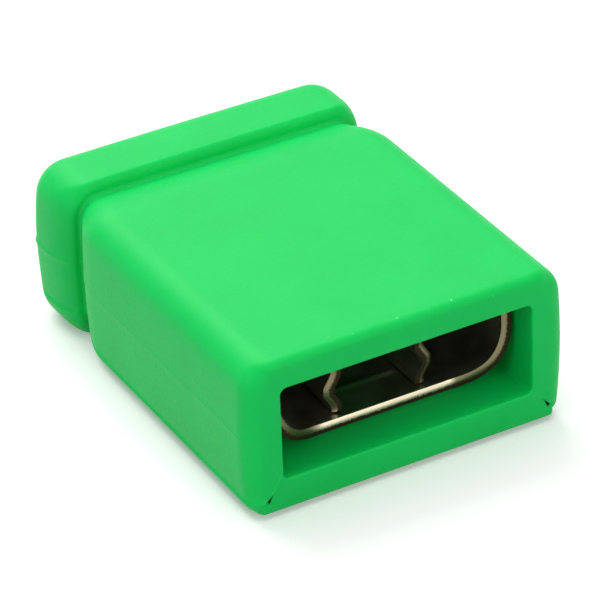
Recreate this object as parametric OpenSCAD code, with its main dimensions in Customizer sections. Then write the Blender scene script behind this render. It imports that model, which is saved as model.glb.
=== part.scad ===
// Two-post jumper shunt, 2.54 mm pitch, lying on a broad face.
// X runs across the two posts, Y from the mouth to the grip, Z through the thickness.

/* [Insulator] */
// Width across the two posts, at the parting line
body_w = 5; // [4.95:0.01:5.06]
// Thickness through the body
body_t = 2.4; // [2.38:0.01:2.5]
// Overall length, mouth to grip
total_l = 6.6; // [6.5:0.05:7]
// Length of the full-size body, before it slopes down to the neck
body_l = 4.75; // [4.6:0.05:4.9]
// Length at which the slope meets the grip
neck_l = 5.5; // [5.45:0.01:5.55]
// Depth of the groove in front of the grip, on all four faces
groove_d = 0.28; // [0.2:0.01:0.3]
// Radius of the moulded edges
edge_r = 0.18; // [0.12:0.01:0.2]
// Draft of each end face, from the parting line to either broad face
draft = 0.08; // [0.02:0.01:0.1]
// Thickness of the grip bar, which stands a little proud of the body
grip_t = 2.52; // [2.5:0.01:2.54]
// Radius of the rounded grip bar
grip_r = 0.5; // [0.4:0.01:0.5]
// Height of the parting line above the middle of the thickness
parting_up = 0.06; // [0:0.02:0.2]
// Height of the flash left along the parting line
flash_h = 0.02; // [0.01:0.005:0.03]

/* [Socket] */
// Wall under the strip's base
floor_t = 0.5; // [0.46:0.01:0.51]
// Wall over the strip
roof_t = 0.43; // [0.41:0.01:0.46]
// Wall at each end of the socket
end_wall = 0.53; // [0.5:0.01:0.55]
// Depth of the socket that holds the contact
socket_l = 4.7; // [4.6:0.05:4.8]
// Depth that the post tips reach
tip_l = 5.75; // [5.6:0.05:5.85]
// Lead-in around the mouth
lead_in = 0.06; // [0.03:0.01:0.08]
// Radius of the socket's long corners
socket_r = 0.1; // [0.06:0.01:0.14]

/* [Contact] */
// Distance between the two posts
pitch = 2.54; // [2.54]
// Width of the square posts
post_w = 0.64; // [0.64]
// Thickness of the strip
strip_t = 0.15; // [0.13:0.01:0.16]
// Distance from the mouth to the front edge of the base
base_front = 0.7; // [0.6:0.05:0.8]
// Distance from the mouth to the front edge of the side walls
wall_front = 0.45; // [0.4:0.05:0.5]
// Distance from the mouth to the front edge of the inner leaves
leaf_front = 0.95; // [0.85:0.05:1]
// Distance from the mouth to the rear edge of the strip
contact_end = 4.6; // [4.4:0.05:4.65]
// Half the distance between the two inner leaves
leaf_x = 0.66; // [0.63:0.01:0.68]
// How far each leaf is kinked towards its post
kink = 0.21; // [0.18:0.01:0.22]
// Radius of the bend between base and side wall
bend_r = 0.7; // [0.6:0.05:0.75]
// Radius of the bends along the top of each loop
roll_r = 0.2; // [0.15:0.01:0.25]

/* [Hidden] */

front = -total_l / 2;             // the mouth plane
grip_end = total_l - flash_h;     // the flash completes the length
mid_z = grip_t / 2;               // middle of the thickness
parting_z = mid_z + parting_up;
floor_z = mid_z - body_t / 2 + floor_t;
ceiling_z = mid_z + body_t / 2 - roof_t;
post_z = (floor_z + ceiling_z) / 2;   // the posts' axis
neck_w = body_w - 2 * groove_d;
neck_t = body_t - 2 * groove_d;
neck_r = edge_r / 2;
flash_t = 0.04;
eps = 0.01;

socket_w = body_w - 2 * end_wall;
socket_t = ceiling_z - floor_z;
tip_w = pitch + post_w + 0.3;
tip_t = post_w + 0.26;
tip_r = 0.08;

fit_gap = 0.01;                   // strip to each end wall, and twice that under the roof
base_z = floor_z + strip_t / 2;   // the base lies on the socket's floor
roof_z = ceiling_z - 2 * fit_gap - strip_t / 2;
wall_x = socket_w / 2 - fit_gap - strip_t / 2;
kink_z = base_z + 0.5;
kink_h = 0.22;                    // half-height of the kink
foot_z = base_z + strip_t / 2 + 0.04;
flat_x = 0.95;                    // half-width of the base's straight front edge
ear_x = 1.72;                     // where the side walls' front edge begins
bead_y = 1.35;                    // stiffening bead across the base
bead_r = 0.08;
bead_h = 0.03;
dimple_y = 2.4;                   // where the dimples press on the posts
dimple_r = 0.5;
dimple_h = wall_x - strip_t / 2 - (pitch + post_w) / 2 + 0.04;
barb_y = 3.7;                     // retaining barbs on the side walls
barb_l = 0.5;
barb_h = 0.06;
barb_t = 0.5;

// ---- outlines ----

function arc(c, r, from, to, steps = 8) =
    [for (i = [0:steps]) let (a = from + (to - from) * i / steps) c + r * [cos(a), sin(a)]];

function rounded_rect(w, h, r) = concat(
    arc([w / 2 - r, h / 2 - r], r, 0, 90, 6), arc([r - w / 2, h / 2 - r], r, 90, 180, 6),
    arc([r - w / 2, r - h / 2], r, 180, 270, 6), arc([w / 2 - r, r - h / 2], r, 270, 360, 6));

function unit(v) = v / norm(v);
function left_of(v) = [-v[1], v[0]];
function mirrored(path) = [for (i = [len(path) - 1:-1:0]) [-path[i][0], path[i][1]]];

// The point at distance d to the left of point i of a path, mitred at the corners
function beside(path, i, d) =
    let (last = len(path) - 1,
         into = left_of(unit(path[max(i, 1)] - path[max(i, 1) - 1])),
         out = left_of(unit(path[min(i + 1, last)] - path[min(i, last - 1)])),
         mitre = unit(into + out))
    path[i] + mitre * d / (mitre * into);

// Outline of a strip of even thickness that follows a path
function strip(path, t) = concat(
    [for (i = [0:len(path) - 1]) beside(path, i, t / 2)],
    [for (i = [len(path) - 1:-1:0]) beside(path, i, -t / 2)]);

// Draws an outline in the XZ plane and carries it along Y
module along_y(y0, y1, points) {
    translate([0, y1, 0]) rotate([90, 0, 0]) linear_extrude(y1 - y0) polygon(points);
}

// ---- housing ----

// Eight balls at the corners of a block and a plate between its broad faces, for a hull
module corner_balls(w, t, y0, y1, r) {
    for (x = [r - w / 2, w / 2 - r], y = [y0, y1], z = [mid_z + r - t / 2, mid_z + t / 2 - r])
        translate([x, y, z]) sphere(r, $fn = 32);
    translate([r - w / 2, y0, mid_z - t / 2]) cube([w - 2 * r, y1 - y0, t]);
}

// Body: drafted both ways from the parting line, then sloping down to the neck
module body_form() {
    hull() {
        corner_balls(body_w - 2 * draft, body_t, edge_r, body_l, edge_r);
        corner_balls(neck_w, neck_t, neck_l, neck_l + neck_r, neck_r);
        for (x = [edge_r - body_w / 2, body_w / 2 - edge_r], y = [edge_r, body_l])
            translate([x, y, parting_z - flash_t / 2]) cylinder(flash_t, r = edge_r, $fn = 32);
    }
}

module grip_form() {
    hull() corner_balls(body_w, grip_t, neck_l + grip_r, grip_end - grip_r, grip_r);
}

// Fine ridge where the two halves of the mould met
module flash(y0, y1, r) {
    hull() for (x = [r - body_w / 2, body_w / 2 - r], y = [y0, y1])
        translate([x, y, parting_z - flash_t / 2]) cylinder(flash_t, r = r + flash_h, $fn = 32);
}

module socket() {
    translate([0, 0, post_z]) {
        along_y(-eps, socket_l, rounded_rect(socket_w, socket_t, socket_r));
        along_y(socket_l - eps, tip_l, rounded_rect(tip_w, tip_t, tip_r));
        hull() {
            along_y(-eps, 0, rounded_rect(socket_w + 2 * lead_in, socket_t + 2 * lead_in, socket_r + lead_in));
            along_y(lead_in, lead_in + eps, rounded_rect(socket_w, socket_t, socket_r));
        }
        for (side = [0, 1]) mirror([side, 0, 0]) barb(fit_gap);
    }
}

module housing() {
    color("#34c465") translate([0, front, 0]) difference() {
        union() {
            body_form();
            grip_form();
            flash(edge_r + 0.1, body_l, edge_r);
            flash(neck_l + grip_r, grip_end - grip_r, grip_r);
        }
        socket();
    }
}

// ---- contact ----

// Centre line of one half: up the kinked leaf, over the top, down the side wall, to the base's middle
half_path = concat(
    [[leaf_x, foot_z], [leaf_x, kink_z - kink_h], [leaf_x + kink, kink_z], [leaf_x, kink_z + kink_h]],
    arc([leaf_x + roll_r, roof_z - roll_r], roll_r, 180, 90),
    arc([wall_x - roll_r, roof_z - roll_r], roll_r, 90, 0),
    arc([wall_x - bend_r, base_z + bend_r], bend_r, 0, -90, 12));

// One-way barb on the right-hand side wall, about the post axis; grow enlarges it to its notch
module barb(grow) {
    translate([0, 0, -barb_t / 2 - grow]) linear_extrude(barb_t + 2 * grow)
        polygon([[wall_x, barb_y - grow], [wall_x + strip_t / 2 + barb_h + grow, barb_y - grow],
                 [wall_x, barb_y + barb_l + 3 * grow]]);
}

// Plan of the strip: the front edge steps forward from the base to the side walls
module strip_plan() {
    half = [[flat_x, base_front], [ear_x, wall_front], [body_w / 2, wall_front], [body_w / 2, contact_end]];
    linear_extrude(grip_t) polygon(concat(half, mirrored(half)));
}

module dimple(r) {
    tip = wall_x - strip_t / 2 - dimple_h;
    translate([tip + dimple_r, dimple_y, post_z]) sphere(r, $fn = 48);
}

module contact_half() {
    difference() {
        union() {
            dimple(dimple_r);
            translate([0, 0, post_z]) barb(0);
        }
        // nothing of the dimple stands outside the side wall
        translate([wall_x + strip_t / 2, dimple_y - 1, 0]) cube([1, 2, grip_t]);
    }
}

module contact() {
    color("#b9a874") translate([0, front, 0]) difference() {
        union() {
            intersection() {
                along_y(0, contact_end, strip(concat(half_path, mirrored(half_path)), strip_t));
                strip_plan();
            }
            for (side = [0, 1]) mirror([side, 0, 0]) contact_half();
            translate([-flat_x, bead_y, base_z + strip_t / 2 + bead_h - bead_r])
                rotate([0, 90, 0]) cylinder(2 * flat_x, r = bead_r, $fn = 24);
        }
        for (side = [0, 1]) mirror([side, 0, 0]) dimple(dimple_r - strip_t);
        // the leaves start behind the base's front edge
        translate([-leaf_x - 2 * kink, 0, foot_z]) cube([2 * leaf_x + 4 * kink, leaf_front, grip_t]);
    }
}

housing();
contact();
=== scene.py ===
# Two-post jumper shunt, lying on a broad face: a moulded housing over one formed spring contact.
# Lengths are in metres; MM turns millimetres into them. X runs across the posts, Y from the
# mouth to the grip, Z through the thickness, and the floor is Z = 0.
import math

import bmesh
import bpy
from mathutils import Matrix, Vector


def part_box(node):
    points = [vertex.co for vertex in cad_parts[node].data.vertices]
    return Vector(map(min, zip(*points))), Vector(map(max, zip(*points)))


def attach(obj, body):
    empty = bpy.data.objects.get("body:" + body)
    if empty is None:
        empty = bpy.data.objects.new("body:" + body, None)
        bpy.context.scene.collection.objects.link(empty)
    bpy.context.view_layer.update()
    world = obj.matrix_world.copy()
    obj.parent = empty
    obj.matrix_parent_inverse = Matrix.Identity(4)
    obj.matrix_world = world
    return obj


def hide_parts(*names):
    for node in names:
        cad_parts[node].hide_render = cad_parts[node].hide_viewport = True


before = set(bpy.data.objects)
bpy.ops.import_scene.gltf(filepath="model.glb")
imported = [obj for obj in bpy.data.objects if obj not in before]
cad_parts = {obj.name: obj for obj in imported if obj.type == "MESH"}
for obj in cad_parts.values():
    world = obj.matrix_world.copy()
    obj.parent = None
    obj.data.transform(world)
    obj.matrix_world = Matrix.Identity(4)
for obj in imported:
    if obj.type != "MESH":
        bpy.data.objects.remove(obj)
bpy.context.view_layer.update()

MM = 0.001


# ---- Camera ----
# A long lens close above the part, turned to its left and tipped down onto the mouth.

VIEW_AZIMUTH = math.radians(-28.24)
VIEW_ELEVATION = math.radians(32.03)
VIEW_ROLL = math.radians(-2.32)
VIEW_DISTANCE = 56.27 * MM
VIEW_LENS = 241.17
aim = Vector((-0.175, -0.605, 1.393)) * MM

camera_data = bpy.data.cameras.new("camera")
camera_data.lens = VIEW_LENS
camera_data.sensor_width = 36
camera_data.clip_start = 1 * MM
camera_data.clip_end = 2
camera = bpy.data.objects.new("camera", camera_data)
turn = (Matrix.Rotation(VIEW_AZIMUTH, 4, "Z")
        @ Matrix.Rotation(math.pi / 2 - VIEW_ELEVATION, 4, "X")
        @ Matrix.Rotation(VIEW_ROLL, 4, "Z"))
camera.matrix_world = Matrix.Translation(aim) @ turn @ Matrix.Translation((0, 0, VIEW_DISTANCE))
bpy.context.collection.objects.link(camera)
bpy.context.scene.camera = camera
bpy.context.scene.view_settings.view_transform = "Standard"


# ---- Floor and light ----
# A sheet of matt white paper in a white room, under two wide soft boxes and two weaker fills.

def linear(colour):
    """A "#rrggbb" colour as linear RGBA."""
    channels = [int(colour[i:i + 2], 16) / 255 for i in (1, 3, 5)]
    return [c / 12.92 if c <= 0.04045 else ((c + 0.055) / 1.055) ** 2.4 for c in channels] + [1.0]


def add_node(tree, kind, settings=None, **sockets):
    """Adds a node. A socket's value is linked if it is a socket, and set if it is not."""
    node = tree.nodes.new(kind)
    for name, value in (settings or {}).items():
        setattr(node, name, value)
    for name, value in sockets.items():
        key = int(name[1:]) if name[0] == "_" else name.replace("_", " ")
        if isinstance(value, bpy.types.NodeSocket):
            tree.links.new(value, node.inputs[key])
        else:
            node.inputs[key].default_value = value
    return node


def new_material(name):
    """An empty material, its tree and its output node."""
    material = bpy.data.materials.new(name)
    material.use_nodes = True
    material.node_tree.nodes.clear()
    output = material.node_tree.nodes.new("ShaderNodeOutputMaterial")
    return material, material.node_tree, output


def seen_directly(tree):
    """1 where the eye, a reflection or a clear piece looks at a surface, and 0 where it only lights."""
    path = add_node(tree, "ShaderNodeLightPath").outputs
    either = add_node(tree, "ShaderNodeMath", {"operation": "MAXIMUM"},
                      _0=path["Is Camera Ray"], _1=path["Is Glossy Ray"])
    return add_node(tree, "ShaderNodeMath", {"operation": "MAXIMUM"},
                    _0=either.outputs[0], _1=path["Is Transmission Ray"]).outputs[0]


PAPER = "#f4f4f4"
PAPER_BOUNCE = "#c8c8c8"   # the paper as a source of light, so that the part's underside stays dark
PAPER_GLOW = 0.24          # what the seen paper lacks to white; its shadow stays
FLOOR_SIZE = 300 * MM

paper, tree, output = new_material("matt_white_paper")
seen = seen_directly(tree)
sheet = add_node(tree, "ShaderNodeMix", {"data_type": "RGBA"}, _0=seen, _6=linear(PAPER_BOUNCE),
                 _7=linear(PAPER))
matt = add_node(tree, "ShaderNodeBsdfDiffuse", Color=sheet.outputs[2])
level = add_node(tree, "ShaderNodeMath", {"operation": "MULTIPLY"}, _0=seen, _1=PAPER_GLOW)
glow = add_node(tree, "ShaderNodeEmission", Color=(1, 1, 1, 1), Strength=level.outputs[0])
shader = add_node(tree, "ShaderNodeAddShader", _0=matt.outputs[0], _1=glow.outputs[0])
tree.links.new(shader.outputs[0], output.inputs["Surface"])

bpy.ops.mesh.primitive_plane_add(size=FLOOR_SIZE)
floor = bpy.context.object
floor.name = "floor"
floor.data.materials.append(paper)

ROOM_LIGHT = 0.14
world = bpy.data.worlds.new("white_room")
bpy.context.scene.world = world
world.use_nodes = True
tree = world.node_tree
tree.nodes.clear()
lit = add_node(tree, "ShaderNodeBackground", Color=(1, 1, 1, 1), Strength=ROOM_LIGHT)
white = add_node(tree, "ShaderNodeBackground", Color=(1, 1, 1, 1), Strength=1.0)
mix = add_node(tree, "ShaderNodeMixShader", _0=seen_directly(tree), _1=lit.outputs[0],
               _2=white.outputs[0])
add_node(tree, "ShaderNodeOutputWorld", Surface=mix.outputs[0])


def soft_box(name, location, size, power):
    """A square soft box that faces the part."""
    lamp = bpy.data.lights.new(name, "AREA")
    lamp.size = size
    lamp.energy = power
    box = bpy.data.objects.new(name, lamp)
    box.matrix_world = (Matrix.Translation(location)
                        @ (-Vector(location)).to_track_quat("-Z", "Y").to_matrix().to_4x4())
    bpy.context.collection.objects.link(box)


soft_box("top_box", (0, 0, 120 * MM), size=120 * MM, power=0.09)
soft_box("back_box", (0, 90 * MM, 100 * MM), size=100 * MM, power=0.11)
soft_box("left_fill", (-130 * MM, -30 * MM, 45 * MM), size=80 * MM, power=0.042)
soft_box("front_fill", (15 * MM, -150 * MM, 60 * MM), size=80 * MM, power=0.075)


# ---- Housing ----
# The insulator: one injection moulding in green PBT, satin from a spark-eroded mould. Its ends
# swell to the parting line, its rear slopes to a groove, and a crowned grip bar closes it.

low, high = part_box("housing")
mouth_y = low.y
mid_z = (low.z + high.z) / 2
body_w = 5.0 * MM          # width, before the ends swell
body_t = 2.4 * MM          # thickness
body_l = 4.75 * MM         # where the slope begins
neck_l = 5.4 * MM          # where the grip begins
groove_d = 0.28 * MM       # depth of the groove at the ends
groove_broad_d = 0.15 * MM  # and on the broad faces
neck_fillet = 0.06 * MM    # at the bottom of the groove
fillet_share = 0.25        # part of the rise to the grip that this fillet takes
slope_blend = 0.25 * MM    # softens the start of the slope
body_draft = 0.07 * MM     # how far the ends fall back at the broad faces
swell = 0.03 * MM          # and how far they stand out at the parting line
edge_r = 0.42 * MM         # upper long edges, between the ends and the broad face
low_edge_r = 0.2 * MM      # lower long edges
neck_edge_r = 0.3 * MM     # the same edges in the groove
rim_end_r = 0.26 * MM      # edge of the mouth's rim at the ends,
rim_top_r = 0.13 * MM      # along the upper broad face
rim_low_r = 0.1 * MM       # and along the lower one

grip_t = high.z - low.z
grip_l = high.y - mouth_y - 0.02 * MM
grip_corner_r = 0.47 * MM  # corners of the bar, seen from behind
grip_front_r = 0.09 * MM   # front edges of the bar, at its broad faces
grip_end_r = 0.62 * MM     # and at its ends
grip_back_r = 0.45 * MM
grip_belly = 0.05 * MM     # how far the bar's ends swell
grip_crown = 0.015 * MM    # how far its top swells
grip_fall = 0.05 * MM      # how far its ends fall back at the top

parting_z = mid_z + 0.06 * MM
flash_w = 0.04 * MM
body_flash = 0.004 * MM    # height of the ridge left by the parting line
neck_flash = 0.02 * MM
grip_flash = 0.02 * MM

socket_floor_z = 0.57 * MM
socket_ceiling_z = 2.01 * MM
socket_w = 3.94 * MM
socket_l = 4.7 * MM
socket_r = 0.1 * MM
lead_in = 0.03 * MM
post_z = (socket_floor_z + socket_ceiling_z) / 2
tip_w = 3.48 * MM          # blind pocket for the posts' tips
tip_t = 0.9 * MM
tip_l = 5.75 * MM
tip_r = 0.08 * MM

ARC_STEPS = 10             # points along each corner, broad face and half end of a ring
BROAD_STEPS = 44
END_STEPS = 9
POCKET_STEPS = 6           # rings along the blind pocket, the socket, the body and its slope
SOCKET_STEPS = 40
BODY_STEPS = 44
SLOPE_STEPS = 22
BACK_TURN = 0.99 * math.pi  # the grip's back turns in by a little less than a quarter
END_FROM, END_TO = 0.5, 0.8  # share of the half width over which a ring's middle becomes its end


def spread(a, b, steps):
    """Evenly spaced values from a up to b, without b."""
    return [a + (b - a) * i / steps for i in range(steps)]


def outline(half_w, half_t, radius, low_radius=None, centre=mid_z):
    """A rounded rectangle across the part: its points in X and Z, and its outward normals."""
    low_radius = low_radius or radius
    low_z, high_z = centre - half_t + low_radius, centre + half_t - radius
    low_x, high_x = half_w - low_radius, half_w - radius
    ridge = [parting_z + flash_w * k / 2 for k in (-2, -1, 0, 1, 2)]
    heights = spread(low_z, ridge[0], END_STEPS) + ridge + spread(ridge[-1], high_z, END_STEPS)[1:]

    def corner(x, z, r, a):
        return [(x + r * math.cos(t), z + r * math.sin(t), math.cos(t), math.sin(t))
                for t in spread(a, a + math.pi / 2, ARC_STEPS)]

    return (corner(low_x, low_z, low_radius, -math.pi / 2)
            + [(half_w, z, 1, 0) for z in heights]
            + corner(high_x, high_z, radius, 0)
            + [(x, high_z + radius, 0, 1) for x in spread(high_x, -high_x, BROAD_STEPS)]
            + corner(-high_x, high_z, radius, math.pi / 2)
            + [(-half_w, z, -1, 0) for z in reversed(heights)]
            + corner(-low_x, low_z, low_radius, math.pi)
            + [(x, low_z - low_radius, 0, -1) for x in spread(-low_x, low_x, BROAD_STEPS)])


def ring(y, half_w, half_t, radius, low_radius=None, centre=mid_z):
    """An outline at a distance y from the mouth."""
    points = outline(half_w, half_t, radius, low_radius, centre)
    return [Vector((x, mouth_y + y, z)) for x, z, nx, nz in points]


def shaped(points, fall=0.0, low_fall=0.0, flash=0.0, belly=0.0, crown=0.0):
    """The same ring with ends that swell or fall back from the parting line, and a swollen top."""
    result = []
    for p in points:
        away = (p.z - parting_z) / (body_t / 2)
        reach = abs(p.x) / (body_w / 2)
        end = min(max((reach - END_FROM) / (END_TO - END_FROM), 0.0), 1.0)
        draft = (fall if away > 0 else low_fall) * min(abs(away), 1.0) ** 2
        ridge = flash * max(0.0, 1 - abs(p.z - parting_z) / flash_w)
        side = end * (ridge + belly * max(0.0, 1 - away ** 2) ** 2 - draft)
        lift = crown * max(0.0, 1 - reach ** 2) if p.z > mid_z + body_t / 4 else 0.0
        result.append(Vector((p.x + (side if p.x > 0 else -side), p.y, p.z + lift)))
    return result


def slope(y, start, end, depth, blend):
    """Depth reached at y on a straight slope from start to end that begins softly."""
    if abs(y - start) < blend:
        return depth / (end - start) * (y - start + blend) ** 2 / (4 * blend)
    return depth * min(max((y - start) / (end - start), 0.0), 1.0)


rings = []
# the blind pocket, its step, and the socket's walls out to the lead-in
for y in spread(tip_l, socket_l, POCKET_STEPS) + [socket_l]:
    rings.append(ring(y, tip_w / 2, tip_t / 2, tip_r, centre=post_z))
socket_t = socket_ceiling_z - socket_floor_z
for y in spread(socket_l, lead_in, SOCKET_STEPS):
    rings.append(ring(y, socket_w / 2, socket_t / 2, socket_r, centre=post_z))
for a in spread(0, math.pi / 2, 4) + [math.pi / 2]:
    grow = lead_in * (1 - math.cos(a))
    rings.append(ring(lead_in * (1 - math.sin(a)), socket_w / 2 + grow, socket_t / 2 + grow,
                      socket_r + grow, centre=post_z))
rim_inner = rings[-1]

# the rim's flat face and its edge, wider at the ends than at the broad faces
edge_rings = []
for a in spread(0, math.pi / 2, 8) + [math.pi / 2]:
    turned = []
    for x, z, nx, nz in outline(body_w / 2 + swell, body_t / 2, edge_r, low_edge_r):
        at_end = min(4 * nx ** 2, 1.0)
        r = rim_end_r * at_end + (rim_top_r if nz > 0 else rim_low_r) * (1 - at_end)
        inset = r * (1 - math.sin(a))
        turned.append(Vector((x - nx * inset, mouth_y + r * (1 - math.cos(a)), z - nz * inset)))
    edge_rings.append(shaped(turned, fall=body_draft, low_fall=body_draft,
                             flash=body_flash * math.sin(a)))
for share in spread(0, 1, 6)[1:] + [0.97]:
    rings.append([a.lerp(b, share) for a, b in zip(rim_inner, edge_rings[0])])
rings += edge_rings

# the body and its slope down to the groove
body_start = rim_end_r + 0.04 * MM
slope_end = neck_l - neck_fillet
for y in (spread(body_start, body_l - slope_blend, BODY_STEPS)
          + spread(body_l - slope_blend, slope_end, SLOPE_STEPS)):
    share = slope(y, body_l, slope_end, 1.0, slope_blend)
    radius = edge_r + (neck_edge_r - edge_r) * share
    flash = body_flash + (neck_flash - body_flash) * share
    low_radius = low_edge_r + (neck_edge_r - low_edge_r) * share
    rings.append(shaped(ring(y, body_w / 2 + swell - (groove_d + swell) * share,
                             body_t / 2 - groove_broad_d * share, radius, low_radius),
                        fall=body_draft * (1 - share), low_fall=body_draft * (1 - share),
                        flash=flash))

# the grip bar: a quick turn up out of the groove, and a rounded back
neck_w, neck_t = body_w / 2 - groove_d, body_t / 2 - groove_broad_d
neck_ring = shaped(ring(neck_l, neck_w, neck_t, neck_edge_r), flash=neck_flash)
bar = outline(body_w / 2, grip_t / 2, grip_corner_r)
bar_ring = shaped([Vector((x, mouth_y + neck_l, z)) for x, z, nx, nz in bar], fall=grip_fall,
                  flash=grip_flash, belly=grip_belly, crown=grip_crown)
for a in spread(0, math.pi / 2, 6):
    back = Vector((0, -neck_fillet * (1 - math.sin(a)), 0))
    rings.append([inner.lerp(outer, fillet_share * (1 - math.cos(a))) + back
                  for inner, outer in zip(neck_ring, bar_ring)])
for a in spread(0, math.pi / 2, 12) + [math.pi / 2]:
    turned = []
    for inner, outer, (x, z, nx, nz) in zip(neck_ring, bar_ring, bar):
        r = grip_front_r + (grip_end_r - grip_front_r) * nx ** 2
        point = inner.lerp(outer, fillet_share + (1 - fillet_share) * math.sin(a))
        turned.append(point + Vector((0, r * (1 - math.cos(a)), 0)))
    rings.append(turned)
for a in spread(math.pi / 2, BACK_TURN, 16):
    inset = grip_back_r * (1 - math.sin(a))
    rings.append(shaped(ring(grip_l - grip_back_r * (1 + math.cos(a)), body_w / 2 - inset,
                             grip_t / 2 - inset, grip_corner_r - inset),
                        fall=grip_fall, flash=grip_flash * math.sin(a), belly=grip_belly * math.sin(a),
                        crown=grip_crown * math.sin(a)))


def skin(name, rings):
    """A closed mesh over a row of rings, with both ends filled."""
    build = bmesh.new()
    loops = [[build.verts.new(point) for point in points] for points in rings]
    for one, other in zip(loops, loops[1:]):
        for i in range(len(one)):
            j = (i + 1) % len(one)
            build.faces.new((one[i], one[j], other[j], other[i]))
    build.faces.new(reversed(loops[0]))
    build.faces.new(loops[-1])
    bmesh.ops.recalc_face_normals(build, faces=build.faces)
    mesh = bpy.data.meshes.new(name)
    build.to_mesh(mesh)
    build.free()
    mesh.shade_smooth()
    piece = bpy.data.objects.new(name, mesh)
    bpy.context.collection.objects.link(piece)
    return piece


housing = skin("moulded_housing", rings)

PLASTIC = "#00d25f"
PLASTIC_DEEP = "#00c356"   # where the pigment is a little denser
PALE_FLECK = "#86f2ae"          # pale flecks on the mouth's top edge
PIGMENT_CLOUD = 0.9 * MM   # size of the faint colour clouds
MOULD_GRAIN = 0.06 * MM    # the real grain is nearer 0.02 mm; drawn coarser so that it shows
PALE_FLECK_SIZE = 0.09 * MM
PALE_FLECK_REACH = (0.28 * MM, 0.08 * MM)  # behind the mouth, where the flecks begin and are full
PALE_FLECK_DEPTH = (0.16 * MM, 0.02 * MM)  # and below the top
PALE_FLECK_LEVELS = (0.72, 0.82)  # only the peaks of the pattern show
PALE_FLECK_AMOUNT = 0.6
NOISE_RANGE = (0.3, 0.7)   # where most of a noise pattern lies
SHEEN = (0.44, 0.56)       # roughness of the grain's hollows and peaks
GRAIN_DEPTH = 0.004 * MM

# Satin PBT: an even, saturated green with a soft sheen, faintly clouded, with a fine dull grain
# and a few pale flecks along the mouth's top edge.
plastic, tree, output = new_material("green_moulded_pbt")
place = add_node(tree, "ShaderNodeTexCoord").outputs["Object"]
cloud = add_node(tree, "ShaderNodeTexNoise", Vector=place, Scale=1 / PIGMENT_CLOUD, Detail=3.0)
grain = add_node(tree, "ShaderNodeTexNoise", Vector=place, Scale=1 / MOULD_GRAIN, Detail=2.0)
fleck = add_node(tree, "ShaderNodeTexNoise", Vector=place, Scale=1 / PALE_FLECK_SIZE, Detail=1.0)
axes = add_node(tree, "ShaderNodeSeparateXYZ", Vector=place)
near_mouth = add_node(tree, "ShaderNodeMapRange", Value=axes.outputs["Y"],
                      _1=mouth_y + PALE_FLECK_REACH[0], _2=mouth_y + PALE_FLECK_REACH[1])
near_top = add_node(tree, "ShaderNodeMapRange", Value=axes.outputs["Z"],
                    _1=mid_z + body_t / 2 - PALE_FLECK_DEPTH[0], _2=mid_z + body_t / 2 - PALE_FLECK_DEPTH[1])
on_edge = add_node(tree, "ShaderNodeMath", {"operation": "MULTIPLY"},
                   _0=near_mouth.outputs[0], _1=near_top.outputs[0])
fleck_peaks = add_node(tree, "ShaderNodeMapRange", Value=fleck.outputs["Fac"], _1=PALE_FLECK_LEVELS[0],
                  _2=PALE_FLECK_LEVELS[1], _4=PALE_FLECK_AMOUNT)
flecked = add_node(tree, "ShaderNodeMath", {"operation": "MULTIPLY"},
                   _0=on_edge.outputs[0], _1=fleck_peaks.outputs[0])
pigment = add_node(tree, "ShaderNodeMix", {"data_type": "RGBA"}, _0=cloud.outputs["Fac"],
                   _6=linear(PLASTIC_DEEP), _7=linear(PLASTIC))
colour = add_node(tree, "ShaderNodeMix", {"data_type": "RGBA"}, _0=flecked.outputs[0],
                  _6=pigment.outputs[2], _7=linear(PALE_FLECK))
sheen = add_node(tree, "ShaderNodeMapRange", Value=grain.outputs["Fac"], _1=NOISE_RANGE[0],
                 _2=NOISE_RANGE[1], _3=SHEEN[0], _4=SHEEN[1])
relief = add_node(tree, "ShaderNodeBump", Strength=0.25, Distance=GRAIN_DEPTH,
                  Height=grain.outputs["Fac"])
shader = add_node(tree, "ShaderNodeBsdfPrincipled", Base_Color=colour.outputs[2],
                  Roughness=sheen.outputs[0], Normal=relief.outputs[0], IOR=1.5,
                  Specular_IOR_Level=0.2, Subsurface_Weight=0.35,
                  Subsurface_Radius=(0.3, 1.0, 0.4), Subsurface_Scale=0.4 * MM)
tree.links.new(shader.outputs[0], output.inputs["Surface"])
housing.data.materials.append(plastic)
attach(housing, "root")
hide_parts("housing")


# ---- Contact ----
# The spring: one strip of tinned phosphor bronze, sheared, then rolled into two open channels over
# a common base. It is pushed in from the mouth; the barbs that hold it are out of sight and left out.

low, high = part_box("contact")
strip_t = 0.15 * MM
base_z = low.z + strip_t / 2
roof_z = socket_ceiling_z - 0.02 * MM - strip_t / 2
wall_x = 1.84 * MM
leaf_x = 0.66 * MM
kink = 0.14 * MM           # how far each leaf is kinked towards its post
kink_h = 0.24 * MM         # half-height of the kink
kink_z = base_z + 0.44 * MM
foot_z = base_z + strip_t / 2 + 0.03 * MM
bend_r = 0.88 * MM         # base to side wall
roll_r = 0.2 * MM          # along the tops

base_front = 0.7 * MM      # front edges, from the mouth
wall_front = 0.45 * MM
leaf_front = 0.84 * MM
strip_rear = high.y - mouth_y
rollover = 0.03 * MM       # how far the shear has rolled the front edge back on the inner side
flat_x = 1.0 * MM          # the front edge steps forward from here
ear_x = 1.8 * MM           # to here

dimple_y = 2.4 * MM        # the dimples press on the posts
dimple_r = 0.42 * MM
dimple_h = 0.16 * MM
bead_y = 1.35 * MM         # stiffening bead across the base
bead_w = 0.07 * MM
bead_h = 0.03 * MM


def arc(x, z, r, start, end, steps):
    """Points of an arc in X and Z, from one angle to another, in degrees."""
    angles = [math.radians(start + (end - start) * i / steps) for i in range(steps + 1)]
    return [(x + r * math.cos(a), z + r * math.sin(a)) for a in angles]


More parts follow.
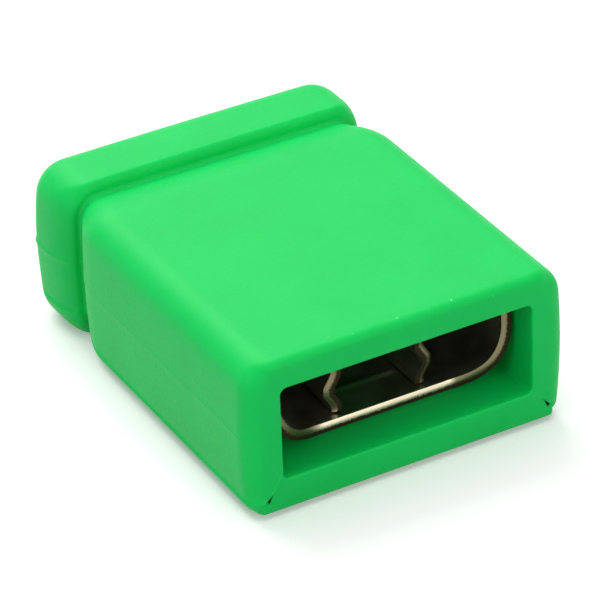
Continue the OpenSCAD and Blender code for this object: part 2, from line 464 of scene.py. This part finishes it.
half_path = ([(leaf_x, foot_z), (leaf_x, kink_z - kink_h), (leaf_x + kink * 0.85, kink_z - 0.05 * MM),
              (leaf_x + kink * 0.85, kink_z + 0.05 * MM), (leaf_x, kink_z + kink_h)]
             + arc(leaf_x + roll_r, roof_z - roll_r, roll_r, 180, 90, 8)
             + arc(wall_x - roll_r, roof_z - roll_r, roll_r, 90, 0, 8)
             + arc(wall_x - bend_r, base_z + bend_r, bend_r, 0, -90, 24))
strip_path = [(-x, z) for x, z in half_path] + list(reversed(half_path))

path_mesh = bpy.data.meshes.new("strip_path")
path_mesh.from_pydata([(x, 0, z) for x, z in strip_path],
                      [(i, i + 1) for i in range(len(strip_path) - 1)], [])
contact_source = bpy.data.objects.new("contact_source", path_mesh)
bpy.context.collection.objects.link(contact_source)

# Finish: bright tin on the rolled faces, and bare bronze on the sheared edges, whose inner half the
# punch has burnished and whose outer half has torn dull. Painted shade: the torn half is near-black
# brown, and the burnished band is darker away from the flat middle of the base.
TIN = "#b9b6a6"
TIN_DULL = "#948d78"
BURNISHED = "#c2bba0"
BURNISHED_PAINTED_SHADE = "#7c755a"  # painted shade: the burnished band on the bends, leaves and walls
# the torn half: a real rough fracture zone, painted near-black brown as the shade under the burnished
# band
TORN_IN_PAINTED_SHADE = "#3a3122"
TIN_CLOUD = 0.35 * MM
ROLL_LINES = 0.03 * MM     # width of the lines left by rolling,
ROLL_STRETCH = 0.12        # which run along Y,
ROLL_DEPTH = 0.003 * MM    # and their depth
RAGGED = 0.35              # how ragged the burnished band's edge is
BURNISHED_FROM = (0.6, 0.75)  # where across the strip that band begins
TIN_ROUGHNESS = (0.28, 0.42)
BARE_ROUGHNESS = (0.7, 0.35)  # torn, and burnished

metal, tree, output = new_material("tinned_phosphor_bronze")
place = add_node(tree, "ShaderNodeTexCoord").outputs["Object"]
cut = add_node(tree, "ShaderNodeAttribute", {"attribute_name": "cut"}).outputs["Fac"]
across = add_node(tree, "ShaderNodeAttribute", {"attribute_name": "across"}).outputs["Fac"]
cloud = add_node(tree, "ShaderNodeTexNoise", Vector=place, Scale=1 / TIN_CLOUD, Detail=4.0)
lines = add_node(tree, "ShaderNodeMapping", Vector=place, Scale=(1.0, ROLL_STRETCH, 1.0))
lines = add_node(tree, "ShaderNodeTexNoise", Vector=lines.outputs[0], Scale=1 / ROLL_LINES,
                 Detail=2.0)
ragged = add_node(tree, "ShaderNodeMath", {"operation": "MULTIPLY_ADD"},
                  _0=lines.outputs["Fac"], _1=RAGGED, _2=across)
shiny = add_node(tree, "ShaderNodeMapRange", Value=ragged.outputs[0], _1=BURNISHED_FROM[0],
                 _2=BURNISHED_FROM[1])
plated = add_node(tree, "ShaderNodeMix", {"data_type": "RGBA"}, _0=cloud.outputs["Fac"],
                  _6=linear(TIN_DULL), _7=linear(TIN))
# Painted shade: the burnished band is bright only on the flat middle of the base, and darker elsewhere.
axes = add_node(tree, "ShaderNodeSeparateXYZ", Vector=place).outputs
beside = add_node(tree, "ShaderNodeMath", {"operation": "ABSOLUTE"}, _0=axes["X"])
inside = add_node(tree, "ShaderNodeMapRange", Value=beside.outputs[0], _1=flat_x + 0.15 * MM,
                  _2=flat_x - 0.05 * MM)
below = add_node(tree, "ShaderNodeMapRange", Value=axes["Z"], _1=foot_z + 0.04 * MM, _2=foot_z)
painted_lit_middle = add_node(tree, "ShaderNodeMath", {"operation": "MULTIPLY"}, _0=inside.outputs[0],
                  _1=below.outputs[0])
burnished = add_node(tree, "ShaderNodeMix", {"data_type": "RGBA"}, _0=painted_lit_middle.outputs[0],
                     _6=linear(BURNISHED_PAINTED_SHADE), _7=linear(BURNISHED))
bare = add_node(tree, "ShaderNodeMix", {"data_type": "RGBA"}, _0=shiny.outputs[0],
                _6=linear(TORN_IN_PAINTED_SHADE), _7=burnished.outputs[2])
colour = add_node(tree, "ShaderNodeMix", {"data_type": "RGBA"}, _0=cut, _6=plated.outputs[2],
                  _7=bare.outputs[2])
plated_rough = add_node(tree, "ShaderNodeMapRange", Value=cloud.outputs["Fac"], _1=NOISE_RANGE[0],
                        _2=NOISE_RANGE[1], _3=TIN_ROUGHNESS[0], _4=TIN_ROUGHNESS[1])
bare_rough = add_node(tree, "ShaderNodeMapRange", Value=shiny.outputs[0],
                      _3=BARE_ROUGHNESS[0], _4=BARE_ROUGHNESS[1])
rough = add_node(tree, "ShaderNodeMix", {"data_type": "FLOAT"}, _0=cut, _2=plated_rough.outputs[0],
                 _3=bare_rough.outputs[0])
relief = add_node(tree, "ShaderNodeBump", Strength=0.3, Distance=ROLL_DEPTH,
                  Height=lines.outputs["Fac"])
shader = add_node(tree, "ShaderNodeBsdfPrincipled", Base_Color=colour.outputs[2], Metallic=1.0,
                  Roughness=rough.outputs[0], Normal=relief.outputs[0])
tree.links.new(shader.outputs[0], output.inputs["Surface"])

# The strip: a dense block laid along the path, whose front edge follows the plan.
tree = bpy.data.node_groups.new("rolled_strip", "GeometryNodeTree")
tree.interface.new_socket("Path", in_out="INPUT", socket_type="NodeSocketGeometry")
tree.interface.new_socket("Strip", in_out="OUTPUT", socket_type="NodeSocketGeometry")
sizes = {"Thickness": strip_t, "Base front": base_front, "Wall front": wall_front,
         "Rollover": rollover, "Leaf front": leaf_front, "Rear": strip_rear, "Flat": flat_x, "Ear": ear_x,
         "Dimple place": dimple_y, "Dimple radius": dimple_r, "Dimple depth": dimple_h,
         "Bead place": bead_y, "Bead width": bead_w, "Bead height": bead_h}
identifiers = {name: tree.interface.new_socket(name, in_out="INPUT",
                                               socket_type="NodeSocketFloat").identifier
               for name in sizes}
given = add_node(tree, "NodeGroupInput").outputs


def maths(operation, *values):
    """A Math node over the values."""
    sockets = {"_%d" % i: value for i, value in enumerate(values)}
    return add_node(tree, "ShaderNodeMath", {"operation": operation}, **sockets).outputs[0]


def soft_step(value, start, end, low_value=0.0, high_value=1.0):
    """Goes smoothly from the low value at start to the high value at end."""
    return add_node(tree, "ShaderNodeMapRange", {"interpolation_type": "SMOOTHSTEP"}, _0=value,
                    _1=start, _2=end, _3=low_value, _4=high_value).outputs[0]


ALONG, WIDE, THROUGH = 260, 104, 5
FRONT_CROWDING = 1.5       # crowds the rows of points towards the visible front
ROLLOVER_SHARPNESS = 6.0   # keeps the roll-over to the strip's inner quarter
block = add_node(tree, "GeometryNodeMeshCube", Size=(1, 1, 1), Vertices_X=ALONG, Vertices_Y=WIDE,
                 Vertices_Z=THROUGH).outputs["Mesh"]
facing = add_node(tree, "ShaderNodeSeparateXYZ",
                  Vector=add_node(tree, "GeometryNodeInputNormal").outputs[0]).outputs["Z"]
is_cut = maths("LESS_THAN", maths("ABSOLUTE", facing), 0.5)
block = add_node(tree, "GeometryNodeStoreNamedAttribute", {"data_type": "FLOAT", "domain": "FACE"},
                 Geometry=block, Name="cut", Value=is_cut).outputs[0]
unit = add_node(tree, "ShaderNodeSeparateXYZ",
                Vector=add_node(tree, "GeometryNodeInputPosition").outputs[0]).outputs
through = maths("ADD", unit["Z"], 0.5)
block = add_node(tree, "GeometryNodeStoreNamedAttribute", {"data_type": "FLOAT", "domain": "POINT"},
                 Geometry=block, Name="across", Value=through).outputs[0]
path = add_node(tree, "GeometryNodeMeshToCurve", Mesh=given["Path"]).outputs[0]
sample = add_node(tree, "GeometryNodeSampleCurve", {"mode": "FACTOR"}, Curves=path,
                  Factor=maths("ADD", unit["X"], 0.5)).outputs
at = add_node(tree, "ShaderNodeSeparateXYZ", Vector=sample["Position"]).outputs
inward = add_node(tree, "ShaderNodeVectorMath", {"operation": "CROSS_PRODUCT"},
                  _0=sample["Tangent"], _1=(0, 1, 0)).outputs[0]
aside = maths("ABSOLUTE", at["X"])
# the base ends under the leaves' feet, and beside the leaves it runs on up the bends
base_top = soft_step(aside, leaf_x + 0.2 * MM, leaf_x + 0.3 * MM, foot_z - 0.02 * MM,
                     post_z + 0.2 * MM)
on_base = maths("LESS_THAN", at["Z"], base_top)
inner_front = maths("ADD", given["Leaf front"],
                    maths("MULTIPLY", on_base, maths("SUBTRACT", given["Base front"],
                                                     given["Leaf front"])))
front = soft_step(aside, given["Flat"], given["Ear"], inner_front, given["Wall front"])
front = maths("MULTIPLY_ADD", given["Rollover"], maths("POWER", through, ROLLOVER_SHARPNESS), front)
back_share = maths("POWER", maths("ADD", unit["Y"], 0.5), FRONT_CROWDING)
y = maths("MULTIPLY_ADD", maths("SUBTRACT", given["Rear"], front), back_share, front)
# a dimple on each side wall and a bead across the base
up = maths("SUBTRACT", at["Z"], post_z)
away = maths("SUBTRACT", y, given["Dimple place"])
far = maths("SQRT", maths("ADD", maths("MULTIPLY", up, up), maths("MULTIPLY", away, away)))
on_wall = maths("GREATER_THAN", aside, wall_x - 0.1 * MM)
press = maths("MULTIPLY", on_wall, soft_step(far, given["Dimple radius"], 0.0, 0.0,
                                             given["Dimple depth"]))
bead = maths("MULTIPLY", soft_step(maths("ABSOLUTE", maths("SUBTRACT", y, given["Bead place"])),
                                   given["Bead width"], 0.0, 0.0, given["Bead height"]),
             soft_step(aside, leaf_x - 0.1 * MM, leaf_x - 0.2 * MM))
bead = maths("MULTIPLY", bead, on_base)
reach = maths("ADD", maths("MULTIPLY", unit["Z"], given["Thickness"]), maths("ADD", press, bead))
offset = add_node(tree, "ShaderNodeVectorMath", {"operation": "SCALE"}, _0=inward, Scale=reach)
carried = add_node(tree, "ShaderNodeCombineXYZ", X=at["X"], Y=maths("ADD", y, mouth_y), Z=at["Z"])
placed = add_node(tree, "ShaderNodeVectorMath", {"operation": "ADD"}, _0=offset.outputs[0],
                  _1=carried.outputs[0]).outputs[0]
strip = add_node(tree, "GeometryNodeSetPosition", Geometry=block, Position=placed).outputs[0]
strip = add_node(tree, "GeometryNodeRealizeInstances", Geometry=strip).outputs[0]
strip = add_node(tree, "GeometryNodeSetMaterial", Geometry=strip, Material=metal).outputs[0]
add_node(tree, "NodeGroupOutput", Strip=strip)

modifier = contact_source.modifiers.new("rolled_strip", "NODES")
modifier.node_group = tree
for name, value in sizes.items():
    modifier[identifiers[name]] = value
bpy.context.view_layer.update()
evaluated = contact_source.evaluated_get(bpy.context.evaluated_depsgraph_get())
contact_mesh = bpy.data.meshes.new_from_object(evaluated)
contact_source.modifiers.remove(modifier)
bpy.data.objects.remove(contact_source)
contact_mesh.shade_smooth()
contact_mesh.set_sharp_from_angle(angle=math.radians(40))
contact = bpy.data.objects.new("spring_contact", contact_mesh)
bpy.context.collection.objects.link(contact)
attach(contact, "root")
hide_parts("contact")
